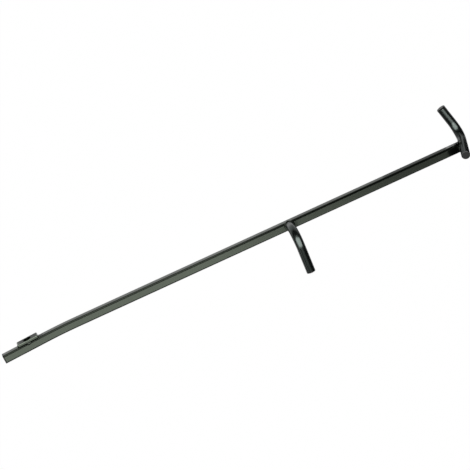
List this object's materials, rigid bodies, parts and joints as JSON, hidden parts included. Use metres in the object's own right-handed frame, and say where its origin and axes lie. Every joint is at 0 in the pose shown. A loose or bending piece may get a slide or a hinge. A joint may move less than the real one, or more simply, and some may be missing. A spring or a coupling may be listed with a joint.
{
  "type": "scythe snath",
  "caption": "Long square steel tube scythe snath with a slight foot bend, a holed tang seat plate, a bent round side grip and a bent round top grip.",
  "frame": {"origin": "centre of the tang hole's mouth, in the seat plate's outer face", "axes": "+X along the straight foot section towards the top grip, +Y out of the tang hole, +Z out of the face that carries the side grip"},
  "size_m": [1.508, 0.2052, 0.2088],
  "materials": {
    "shaft_enamel": "black enamel over drawn square tube, semi-gloss",
    "grip_enamel": "black enamel over bent round tube, gloss",
    "weld_enamel": "black enamel over rippled weld bead, semi-gloss",
    "plug_plastic": "black moulded plastic, satin"
  },
  "bodies": {
    "root": {"shaft_tube": "shaft_enamel", "foot_plug": "plug_plastic", "seat_plate": "shaft_enamel", "plate_weld_front": "weld_enamel", "plate_weld_back": "weld_enamel", "plate_weld_foot": "weld_enamel", "plate_weld_head": "weld_enamel", "top_grip": "grip_enamel", "top_grip_weld": "weld_enamel", "top_near_plug": "plug_plastic", "top_far_plug": "plug_plastic", "side_grip": "grip_enamel", "side_grip_weld": "weld_enamel", "side_grip_plug": "plug_plastic"}
  },
  "joints": []
}
